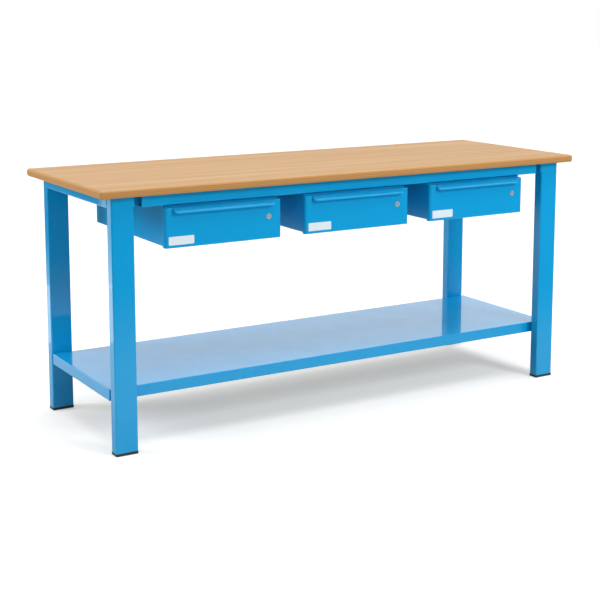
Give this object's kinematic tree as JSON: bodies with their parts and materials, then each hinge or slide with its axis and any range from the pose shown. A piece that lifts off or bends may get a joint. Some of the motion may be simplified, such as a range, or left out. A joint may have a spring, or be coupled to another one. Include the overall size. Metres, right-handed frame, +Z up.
{
  "type": "workbench with drawers",
  "caption": "Long wooden worktop on a painted steel leg frame, with a folded lower shelf and lockable drawers on telescopic slides under the front edge.",
  "frame": {"origin": "on the floor under the middle of the worktop", "axes": "+X along the bench to the right of a user at the drawers, +Y from the user to the back, +Z up"},
  "size_m": [2, 0.7, 0.9],
  "materials": {
    "frame_paint": "light blue satin powder coat",
    "worktop_beech": "clear lacquered beech",
    "foot_plastic": "moulded black plastic",
    "zinc_steel": "bright zinc plate",
    "lock_chrome": "polished chrome plate",
    "label_film": "blank white film"
  },
  "bodies": {
    "frame": {"worktop": "worktop_beech", "leg_front_left": "frame_paint", "foot_front_left": "foot_plastic", "rail_bracket_front_left": "frame_paint", "leg_rear_left": "frame_paint", "foot_rear_left": "foot_plastic", "rail_bracket_rear_left": "frame_paint", "crossbar_top_left": "frame_paint", "crossbar_low_left": "frame_paint", "leg_front_right": "frame_paint", "foot_front_right": "foot_plastic", "rail_bracket_front_right": "frame_paint", "leg_rear_right": "frame_paint", "foot_rear_right": "foot_plastic", "rail_bracket_rear_right": "frame_paint", "crossbar_top_right": "frame_paint", "crossbar_low_right": "frame_paint", "rail_front": "frame_paint", "rail_rear": "frame_paint", "shelf": "frame_paint", "shelf_stiffener": "frame_paint", "drawer_1_housing": "frame_paint", "drawer_1_slide_outer_left": "zinc_steel", "drawer_1_slide_outer_right": "zinc_steel", "drawer_2_housing": "frame_paint", "drawer_2_slide_outer_left": "zinc_steel", "drawer_2_slide_outer_right": "zinc_steel", "drawer_3_housing": "frame_paint", "drawer_3_slide_outer_left": "zinc_steel", "drawer_3_slide_outer_right": "zinc_steel"},
    "drawer_1": {"drawer_1_tray": "zinc_steel", "drawer_1_front": "frame_paint", "drawer_1_pull": "frame_paint", "drawer_1_lock_sleeve": "lock_chrome", "drawer_1_slide_inner_left": "zinc_steel", "drawer_1_slide_inner_right": "zinc_steel"},
    "runners_1": {"drawer_1_slide_middle_left": "zinc_steel", "drawer_1_slide_middle_right": "zinc_steel"},
    "lock_1": {"drawer_1_lock_plug": "lock_chrome", "drawer_1_lock_cam": "zinc_steel"},
    "drawer_2": {"drawer_2_tray": "zinc_steel", "drawer_2_front": "frame_paint", "drawer_2_pull": "frame_paint", "drawer_2_lock_sleeve": "lock_chrome", "drawer_2_slide_inner_left": "zinc_steel", "drawer_2_slide_inner_right": "zinc_steel"},
    "runners_2": {"drawer_2_slide_middle_left": "zinc_steel", "drawer_2_slide_middle_right": "zinc_steel"},
    "lock_2": {"drawer_2_lock_plug": "lock_chrome", "drawer_2_lock_cam": "zinc_steel"},
    "drawer_3": {"drawer_3_tray": "zinc_steel", "drawer_3_front": "frame_paint", "drawer_3_pull": "frame_paint", "drawer_3_lock_sleeve": "lock_chrome", "drawer_3_slide_inner_left": "zinc_steel", "drawer_3_slide_inner_right": "zinc_steel"},
    "runners_3": {"drawer_3_slide_middle_left": "zinc_steel", "drawer_3_slide_middle_right": "zinc_steel"},
    "lock_3": {"drawer_3_lock_plug": "lock_chrome", "drawer_3_lock_cam": "zinc_steel"}
  },
  "joints": [
    {"name": "drawer_1_slide", "type": "slide", "parent": "frame", "child": "drawer_1", "axis": [0, -1, 0], "range_m": [0, 0.46]},
    {"name": "runners_1_slide", "type": "slide", "parent": "frame", "child": "runners_1", "axis": [0, -1, 0], "range_m": [0, 0.23]},
    {"name": "lock_1_turn", "type": "hinge", "parent": "drawer_1", "child": "lock_1", "pos_m": [-0.37, -0.3, 0.765], "axis": [0, 1, 0], "range_deg": [0, 90]},
    {"name": "drawer_2_slide", "type": "slide", "parent": "frame", "child": "drawer_2", "axis": [0, -1, 0], "range_m": [0, 0.46]},
    {"name": "runners_2_slide", "type": "slide", "parent": "frame", "child": "runners_2", "axis": [0, -1, 0], "range_m": [0, 0.23]},
    {"name": "lock_2_turn", "type": "hinge", "parent": "drawer_2", "child": "lock_2", "pos_m": [0.172, -0.3, 0.765], "axis": [0, 1, 0], "range_deg": [0, 90]},
    {"name": "drawer_3_slide", "type": "slide", "parent": "frame", "child": "drawer_3", "axis": [0, -1, 0], "range_m": [0, 0.46]},
    {"name": "runners_3_slide", "type": "slide", "parent": "frame", "child": "runners_3", "axis": [0, -1, 0], "range_m": [0, 0.23]},
    {"name": "lock_3_turn", "type": "hinge", "parent": "drawer_3", "child": "lock_3", "pos_m": [0.714, -0.3, 0.765], "axis": [0, 1, 0], "range_deg": [0, 90]}
  ],
  "couplings": [
    {"joint": "runners_1_slide", "follows": "drawer_1_slide", "ratio": 0.5},
    {"joint": "runners_2_slide", "follows": "drawer_2_slide", "ratio": 0.5},
    {"joint": "runners_3_slide", "follows": "drawer_3_slide", "ratio": 0.5}
  ]
}
